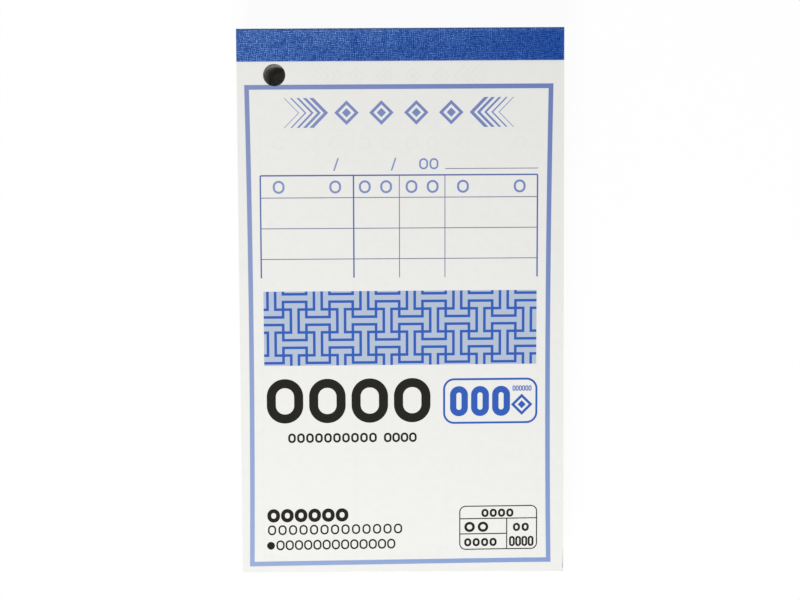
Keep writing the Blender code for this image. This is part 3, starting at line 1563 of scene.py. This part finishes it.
@dataclass(frozen=True)
class Cover:
    """The printed cover: one sheet that bends at the tape's edge when it is turned up."""

    sizes: PadSizes
    pitch: float = 2.0 * MM
    fold_rows: int = 24
    fold_clear: float = 0.05 * MM
    held_below_hole: float = 6 * MM
    free_below_hole: float = 30 * MM
    wave: float = 0.10 * MM
    wave_length: float = 34 * MM
    wave_shift: float = 7
    wave_seed: int = 11
    corner_lift: float = 0.55 * MM
    right_start: float = 0.74
    left_start: float = 0.82
    left_share: float = 0.35
    tail_lift: float = 0.10 * MM
    tail_start: float = 0.8
    dog_ear: float = 9 * MM
    drawn_in: float = 0.28 * MM

    def lift(self, x: np.ndarray, y: np.ndarray) -> np.ndarray:
        """How far the leaf stands off the slips: faint waves, and corners that curl up at the tail.

        A corner's curl is the square of how far a point is past a slanting line towards that corner.

        Args:
            x: Places across the sheet.
            y: Places along it.

        Returns:
            The height over the slips.
        """
        across = x / self.sizes.half_width
        along = y / self.sizes.tail
        below_hole = self.sizes.hole_y - y
        free = ease(below_hole, self.held_below_hole, self.free_below_hole)
        cells_x = x / self.wave_length + self.wave_shift
        cells_y = y / self.wave_length + self.wave_shift
        waves = soft_noise(cells_x, cells_y, self.wave_seed)
        right_corner = curl((along + across) / 2, self.right_start)
        left_corner = curl((along - across) / 2, self.left_start)
        corners = self.corner_lift * (right_corner + self.left_share * left_corner)
        return free * (self.wave * waves + corners + self.tail_lift * curl(along, self.tail_start))

    def sheet(self, fold: np.ndarray) -> Patch:
        """The whole sheet in the plane, with its hole.

        Args:
            fold: Places of extra rows across the fold near the head.

        Returns:
            The sheet.
        """
        sizes = self.sizes
        xs, left, right = lines_round_hole(-sizes.half_width, sizes.half_width, sizes.hole_x, self.pitch)
        ys, low, high = lines_round_hole(sizes.tail, sizes.head, sizes.hole_y, self.pitch)
        return drilled_patch(sizes, xs, np.unique(np.concatenate([ys, fold])), (left, right, low, high))

    def build(self) -> list[bpy.types.Object]:
        """Make the sheet, print it, and bend it between the pad and the cover's leaf.

        Its dog-eared corner is drawn in by an eased share of the distance from the corner.

        Returns:
            The cover alone.
        """
        low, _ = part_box("cover_sheet")
        _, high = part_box("cover_bound_head")
        fold_start = self.sizes.tape_edge - self.fold_clear
        fold_end = self.sizes.hole_y + HOLE_BLOCK + self.fold_clear
        patch = self.sheet(np.linspace(fold_end, fold_start, self.fold_rows))
        x, y = patch.points.T
        from_corner = np.hypot(x - self.sizes.half_width, y - self.sizes.tail)
        drawn_in = self.drawn_in * (1 - ease(from_corner, 0.0, self.dog_ear))
        x, y = x - drawn_in, y + drawn_in
        rise = self.lift(x, y)
        front = np.column_stack([x, y, high.z + rise])
        back = np.column_stack([x, y, low.z + rise])
        finishes = [CoverFront(self.sizes).material(), CoverBack(self.sizes).material()]
        slots = {Side.BACK: 1, Side.RIM: 1, Side.BORE: 1}
        piece = add_piece("cover", thicken(patch, front, back), finishes, slots)
        self.add_uv(piece.data)
        middle = (low.z + high.z) / 2
        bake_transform(piece, "pad", "cover", start=(0.0, fold_start, middle), end=(0.0, fold_end, middle))
        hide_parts("cover_sheet", "cover_bound_head")
        return [piece]

    def add_uv(self, mesh: bpy.types.Mesh) -> None:
        """Map the sheet flat: across from its left side to its right, along from its tail to its head.

        Args:
            mesh: The sheet's mesh.
        """
        places = np.empty(len(mesh.vertices) * 3)
        mesh.vertices.foreach_get("co", places)
        corners = np.empty(len(mesh.loops), dtype=int)
        mesh.loops.foreach_get("vertex_index", corners)
        sizes = self.sizes
        x, y, _ = places.reshape(-1, 3)[corners].T
        across = (x + sizes.half_width) / (2 * sizes.half_width)
        along = (y - sizes.tail) / (sizes.head - sizes.tail)
        mesh.uv_layers.new(name=SHEET_UV).data.foreach_set("uv", np.column_stack([across, along]).ravel())


@dataclass(frozen=True)
class Slips:
    """The block of slips: every slip its own thin plate, the first three loose, the others by bundle."""

    sizes: PadSizes
    nodes: tuple[str, ...]
    thickness: float = 0.05 * MM
    spacing: float = 0.06 * MM
    stray: float = 0.035 * MM
    seed: int = 31

    def build(self) -> list[bpy.types.Object]:
        """Make a piece for each node, all with the same finishes.

        Returns:
            The pieces.
        """
        finishes = [SlipFront().material(), CutEdges().material(), DrilledWall(self.sizes.hole_y).material()]
        patch = fan_patch(self.sizes)
        return [self.build_bundle(number, node, patch, finishes) for number, node in enumerate(self.nodes)]

    def build_bundle(
        self, number: int, node: str, patch: Patch, finishes: Sequence[bpy.types.Material]
    ) -> bpy.types.Object:
        """Stack the plates of one node. Each plate's outline is moved by a stray of its own.

        Args:
            number: The node's place in the block, which seeds its strays.
            node: The node that the piece stands for.
            patch: The sheet in the plane.
            finishes: Printed front, cut edges and drilled wall.

        Returns:
            The piece, riding on the node's body.
        """
        low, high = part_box(node)
        count = round((high.z - low.z + self.spacing - self.thickness) / self.spacing)
        draw = np.random.default_rng((self.seed, number))
        stray = draw.uniform(-1.0, 0.0, (count, 1, 2)) * self.stray
        stray[..., 0] += self.stray / 2
        tone = draw.random(count)
        trimmed = patch.points + patch.on_loop(0) * stray
        base = low.z + self.spacing * np.arange(count)[:, None, None]
        front, back = (Drill().bore(patch, trimmed, z) for z in (base + self.thickness, base))
        plate = thicken(patch, front[0], back[0])
        size = len(plate.points)
        shell = Shell(
            np.concatenate([front, back], axis=1).reshape(-1, 3),
            (plate.quads + size * np.arange(count)[:, None, None]).reshape(-1, 4),
            np.tile(plate.sides, count),
        )
        slots = {Side.BACK: 1, Side.RIM: 1, Side.BORE: 2}
        name = f"printed_{node}"
        piece = add_piece(name, shell, finishes, slots, {TONE: np.repeat(tone, size)})
        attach(piece, body_of(bpy.data.objects[node])[0])
        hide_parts(node)
        return piece


@dataclass(frozen=True)
class Backing:
    """The grey board under the slips, and the dried gum along the head."""

    sizes: PadSizes
    bore_tone: float = 0.8

    def build(self) -> list[bpy.types.Object]:
        """Make the drilled board, and give the gum its finish.

        Returns:
            The board and the gum.
        """
        low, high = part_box("backing_board")
        patch = fan_patch(self.sizes)
        front, back = (Drill().bore(patch, patch.points, z) for z in (high.z, low.z))
        finishes = [Greyboard().material(), DrilledWall(self.sizes.hole_y).material()]
        shell = thicken(patch, front, back)
        tone = {TONE: np.full(len(shell.points), self.bore_tone)}
        board = add_piece("grey_board", shell, finishes, {Side.BORE: 1}, tone)
        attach(board, "pad")
        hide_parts("backing_board")
        gum = bpy.data.objects["padding_gum"]
        gum.data.materials.clear()
        gum.data.materials.append(DriedGum().material())
        return [board, gum]


@dataclass(frozen=True)
class Tape:
    """The binding tape: a strip carried round the head, with its grain pressed into the outer surface."""

    sizes: PadSizes
    thickness: float = 0.22 * MM
    corner: float = 0.60 * MM
    corner_steps: int = 12
    flat_step: float = 0.17 * MM
    corner_step: float = 0.10 * MM
    hidden_step: float = 0.185 * MM
    columns: int = 490
    thread: float = 0.45 * MM
    stroke: float = 0.32 * MM
    thread_seeds: tuple[int, int] = (5, 8)
    wander: float = 0.50 * MM
    wander_size: float = 1.4 * MM
    wander_seed: int = 13
    grain_gain: float = 1.25
    grain_lift: float = 0.06
    depth: float = 0.045 * MM
    sunk: float = 0.8
    corner_wear: float = 0.7 * MM
    corner_share: float = 0.5
    edge_wear: float = 0.3 * MM
    edge_share: float = 0.3
    # Painted sheen, lighter towards the hole's side of the tape and near the front's round corner.
    sheen_reach: float = 6.0 * MM
    sheen_least: float = 0.5
    sheen_more: float = 0.6
    sheen_share: float = 0.8
    spot_length: float = 3 * MM
    spot_width: float = 4 * MM
    spot_least: float = 0.7
    spot_more: float = 0.6
    spot_seed: int = 21

    def path(self, low: float, high: float, head: float) -> np.ndarray:
        """The strip's outer line: front strip, round corner, spine, round corner, back strip.

        Args:
            low: Height of its back strip.
            high: Height of its front strip.
            head: Place of its spine.

        Returns:
            Y and Z of its points.
        """
        turn = np.linspace(0.0, np.pi / 2, self.corner_steps + 1)[:, None]
        radius = self.corner
        upper = np.array([head - radius, high - radius]) + radius * np.hstack([np.sin(turn), np.cos(turn)])
        lower = np.array([head - radius, low + radius]) + radius * np.hstack([np.cos(turn), -np.sin(turn)])
        edge = self.sizes.tape_edge
        return np.concatenate([[[edge, high]], upper, lower, [[edge, low]]])

    def rows(self, length: np.ndarray) -> np.ndarray:
        """Places along the strip where the mesh has a row: closest at the corners, wider past the front.

        Args:
            length: How far along the strip each point of its line is.

        Returns:
            The places, from the front edge to the back one.
        """
        turns = np.array([0, 1, 1 + self.corner_steps, 2 + self.corner_steps, 2 + 2 * self.corner_steps, -1])
        ends = length[turns]
        pitches = (self.flat_step, self.corner_step, self.hidden_step, self.corner_step, self.hidden_step)
        stretches = [
            np.linspace(low, high, round((high - low) / pitch), endpoint=False)
            for low, high, pitch in zip(ends, ends[1:], pitches)
        ]
        return np.append(np.concatenate(stretches), ends[-1])

    def threads(self, sideways: np.ndarray, lengthwise: np.ndarray, seed: int) -> np.ndarray:
        """How high one set of threads stands, from 0 to 1.

        Across the threads the height is a triangle wave. Along each one a noise of its own presses it
        down, to half of its height at most.

        Args:
            sideways: Places across the threads.
            lengthwise: Places along them.
            seed: Which noise presses them.

        Returns:
            The height at each place.
        """
        number = sideways / self.thread
        ridge = 1 - np.abs(2 * (number % 1) - 1)
        return ridge * (1 + soft_noise(np.floor(number), lengthwise / self.stroke, seed)) / 2

    def relief(self, s: np.ndarray, x: np.ndarray) -> np.ndarray:
        """The grain's height from 0 to 1: the mean of two crossed sets of threads, stretched a little.

        A slow noise moves all places a part of a thread, so that no thread runs straight.

        Args:
            s: Places along the strip.
            x: Places across the pad.

        Returns:
            The height at each place.
        """
        slow = soft_noise(s / self.wander_size, x / self.wander_size, self.wander_seed)
        moved = self.wander * (slow - 0.5)
        across_seed, along_seed = self.thread_seeds
        mean = (self.threads(s + moved, x, across_seed) + self.threads(x + moved, s, along_seed)) / 2
        return np.clip(self.grain_gain * mean + self.grain_lift, 0.0, 1.0)

    def wear_and_sheen(self, s: np.ndarray, x: np.ndarray, length: np.ndarray) -> np.ndarray:
        """Rubbing at the two round corners and along the cut edges, with painted sheen, from 0 to 1.

        The painted sheen is towards the hole's side of the pad, and more the nearer to the front's round
        corner. At corners and edges the rubbing falls off as a bell curve, the sheen from the corner inwards
        as an exponential, and a slow noise makes it spotty.

        Args:
            s: Places along the strip.
            x: Places across the pad.
            length: How far along the strip each point of its line is.

        Returns:
            The rubbing and painted sheen at each place.
        """
        upper, lower = length[1:-1].reshape(2, -1).mean(axis=1)
        half = self.sizes.half_width
        to_corner = np.minimum(np.abs(s - upper), np.abs(s - lower)) / self.corner_wear
        to_edge = np.minimum(np.minimum(s, length[-1] - s), half - np.abs(x)) / self.edge_wear
        # Painted sheen: falls off from the front's round corner.
        held = np.exp(-np.abs(s - upper) / self.sheen_reach)
        # Painted sheen: grows towards the hole's side of the pad.
        painted_sheen = (half - x) / (2 * half) * (self.sheen_least + self.sheen_more * held)
        rubbed = self.corner_share * np.exp(-(to_corner**2)) + self.edge_share * np.exp(-(to_edge**2))
        rubbed = rubbed + self.sheen_share * painted_sheen
        spots = soft_noise(s / self.spot_length, x / self.spot_width, self.spot_seed)
        return np.clip(rubbed * (self.spot_least + self.spot_more * spots), 0.0, 1.0)

    def surface(self, line: np.ndarray, out: np.ndarray, x: np.ndarray, offset: np.ndarray) -> np.ndarray:
        """Points of the strip: its line carried across the pad, and each point moved out by an offset.

        Args:
            line: Y and Z of the line at each row of the mesh.
            out: The way out of the strip there.
            x: Places across the pad.
            offset: How far out each point is, row by row.

        Returns:
            The points, row by row.
        """
        moved = line[:, None] + out[:, None] * offset[..., None]
        across = np.broadcast_to(x, offset.shape)[..., None]
        return np.concatenate([across, moved], axis=2).reshape(-1, 3)

    def closed(self, outer: np.ndarray, inner: np.ndarray) -> Shell:
        """Close the strip: its fine outer face, its plain inner face two points wide, and its four edges.

        Args:
            outer: Points of the outer face, row by row.
            inner: Points of the inner face, a left and a right one in each row.

        Returns:
            The closed strip.
        """
        rows = len(inner) // 2
        first = len(outer) + 2 * np.arange(rows)
        left = np.arange(rows) * self.columns
        right = left + self.columns - 1
        faces = [
            grid_quads(rows, self.columns),
            np.stack([first[:-1], first[1:], first[1:] + 1, first[:-1] + 1], axis=1),
            np.stack([first[:-1] + 1, first[1:] + 1, right[1:], right[:-1]], axis=1),
            np.stack([first[1:], first[:-1], left[:-1], left[1:]], axis=1),
        ]
        strip_sides = [side.value for side in (Side.FRONT, Side.BACK, Side.RIM, Side.RIM)]
        sides = np.repeat(strip_sides, [len(quads) for quads in faces])
        lower_row = np.arange(self.columns)
        upper_row = lower_row + left[-1]
        front_edge = np.concatenate([[first[0], first[0] + 1], lower_row[::-1]])
        back_edge = np.concatenate([[first[-1] + 1, first[-1]], upper_row])
        return Shell(np.concatenate([outer, inner]), np.concatenate(faces), sides, (front_edge, back_edge))

    def build(self) -> list[bpy.types.Object]:
        """Carry the strip's line across the pad, press in the grain and close it with its inner face.

        Returns:
            The tape alone.
        """
        low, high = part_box("binding_tape")
        path = self.path(low.z, high.z, high.y)
        steps = np.linalg.norm(np.diff(path, axis=0), axis=1)
        length = np.concatenate([[0.0], np.cumsum(steps)])
        s = self.rows(length)
        line = np.stack([np.interp(s, length, path[:, axis]) for axis in (0, 1)], axis=1)
        along = np.gradient(line, axis=0)
        along /= np.linalg.norm(along, axis=1, keepdims=True)
        out = np.stack([-along[:, 1], along[:, 0]], axis=1)
        half = self.sizes.half_width
        x = np.linspace(-half, half, self.columns)
        grid_s, grid_x = np.meshgrid(s, x, indexing="ij")
        relief = self.relief(grid_s, grid_x)
        outer = self.surface(line, out, x, self.depth * (relief - self.sunk))
        inner = self.surface(line, out, np.array([-half, half]), np.full((len(s), 2), -self.thickness))
        layers = {RELIEF: relief, WEAR_AND_SHEEN: self.wear_and_sheen(grid_s, grid_x, length)}
        blank = np.zeros(len(inner))
        numbers = {name: np.append(layer.ravel(), blank) for name, layer in layers.items()}
        piece = add_piece("tape", self.closed(outer, inner), [EmbossedTape().material()], {}, numbers)
        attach(piece, "pad")
        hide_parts("binding_tape")
        return [piece]


@dataclass(frozen=True)
class Lamp:
    """A round soft lamp that shines at the origin."""

    name: str
    place: tuple[float, float, float]
    size: float
    power: float
    colour: Colour = WHITE

    def build(self) -> None:
        """Add the lamp, turned from its own down to the origin, and hidden from the camera."""
        data = bpy.data.lights.new(self.name, "AREA")
        data.shape = "DISK"
        data.size = self.size
        data.energy = self.power
        data.color = self.colour
        lamp = add_object(self.name, data)
        lamp.location = self.place
        x, y, z = self.place
        lamp.rotation_euler = (np.arctan2(np.hypot(x, y), z), 0.0, np.arctan2(-y, -x) - np.pi / 2)
        lamp.visible_camera = False


@dataclass(frozen=True)
class Studio:
    """Camera, floor and light. The camera's place was fitted to the pad's corners, hole and frame."""

    sizes: PadSizes
    camera_place: tuple[float, float, float] = (0.60 * MM, 35.53 * MM, 465.29 * MM)
    camera_turn: tuple[float, float, float] = (radians(-4.418), radians(0.129), radians(-0.294))
    lens: float = 74.72
    sensor: float = 36.0
    sky: float = 0.24
    key: Lamp = Lamp("key", (-0.14, -0.64, 0.80), size=0.60, power=9.05)
    fill: Lamp = Lamp("fill", (-0.20, 0.14, 0.20), size=0.08, power=0.056, colour=(1.0, 0.92, 0.84))
    floor_half: float = 2.0
    floor_drop: float = 0.05 * MM

    def build(self) -> None:
        """Set everything up."""
        self.add_camera()
        self.add_floor()
        self.light_world()
        self.key.build()
        self.fill.build()
        bpy.context.scene.view_settings.view_transform = "Standard"

    def add_camera(self) -> None:
        """Add the camera, almost straight above the pad and tilted a little up from its tail."""
        data = bpy.data.cameras.new("camera")
        data.lens = self.lens
        data.sensor_width = self.sensor
        data.sensor_fit = "HORIZONTAL"
        camera = add_object("camera", data)
        camera.rotation_mode = "ZYX"
        camera.location = self.camera_place
        camera.rotation_euler = self.camera_turn
        bpy.context.scene.camera = camera

    def add_floor(self) -> None:
        """Add the floor, one large square just under the pad."""
        half = self.floor_half
        corners = [(-half, -half), (half, -half), (half, half), (-half, half)]
        mesh = bpy.data.meshes.new("floor")
        mesh.from_pydata([(x, y, -self.floor_drop) for x, y in corners], [], [(0, 1, 2, 3)])
        mesh.materials.append(PaleFloor(self.sizes).material())
        floor = add_object("floor", mesh)

    def light_world(self) -> None:
        """Light the pad evenly from all round, with a white background."""
        tree = ShaderTree(bpy.data.worlds.new("studio"))
        background = tree.nodes["Background"].inputs
        tree.feed(background["Color"], WHITE)
        tree.feed(background["Strength"], background_rays(tree).times_plus(1 - self.sky, self.sky))
        bpy.context.scene.world = tree.owner


def clear_scene() -> None:
    """Take every object out of the open file."""
    for old in list(bpy.data.objects):
        bpy.data.objects.remove(old)


def main() -> None:
    """Build the studio, then the pad from its back to its front, and report each piece."""
    logging.basicConfig(level=logging.INFO, format="%(name)s: %(message)s")
    clear_scene()
    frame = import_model()
    sizes = PadSizes.of_frame(frame)
    slip_nodes = tuple(sorted(node for node in frame["nodes"] if node.startswith("slip")))
    Studio(sizes).build()
    for assembly in (Backing(sizes), Slips(sizes, slip_nodes), Cover(sizes), Tape(sizes)):
        for piece in assembly.build():
            log.info("%s: %d faces", piece.name, len(piece.data.polygons))


if __name__ == "__main__":
    main()
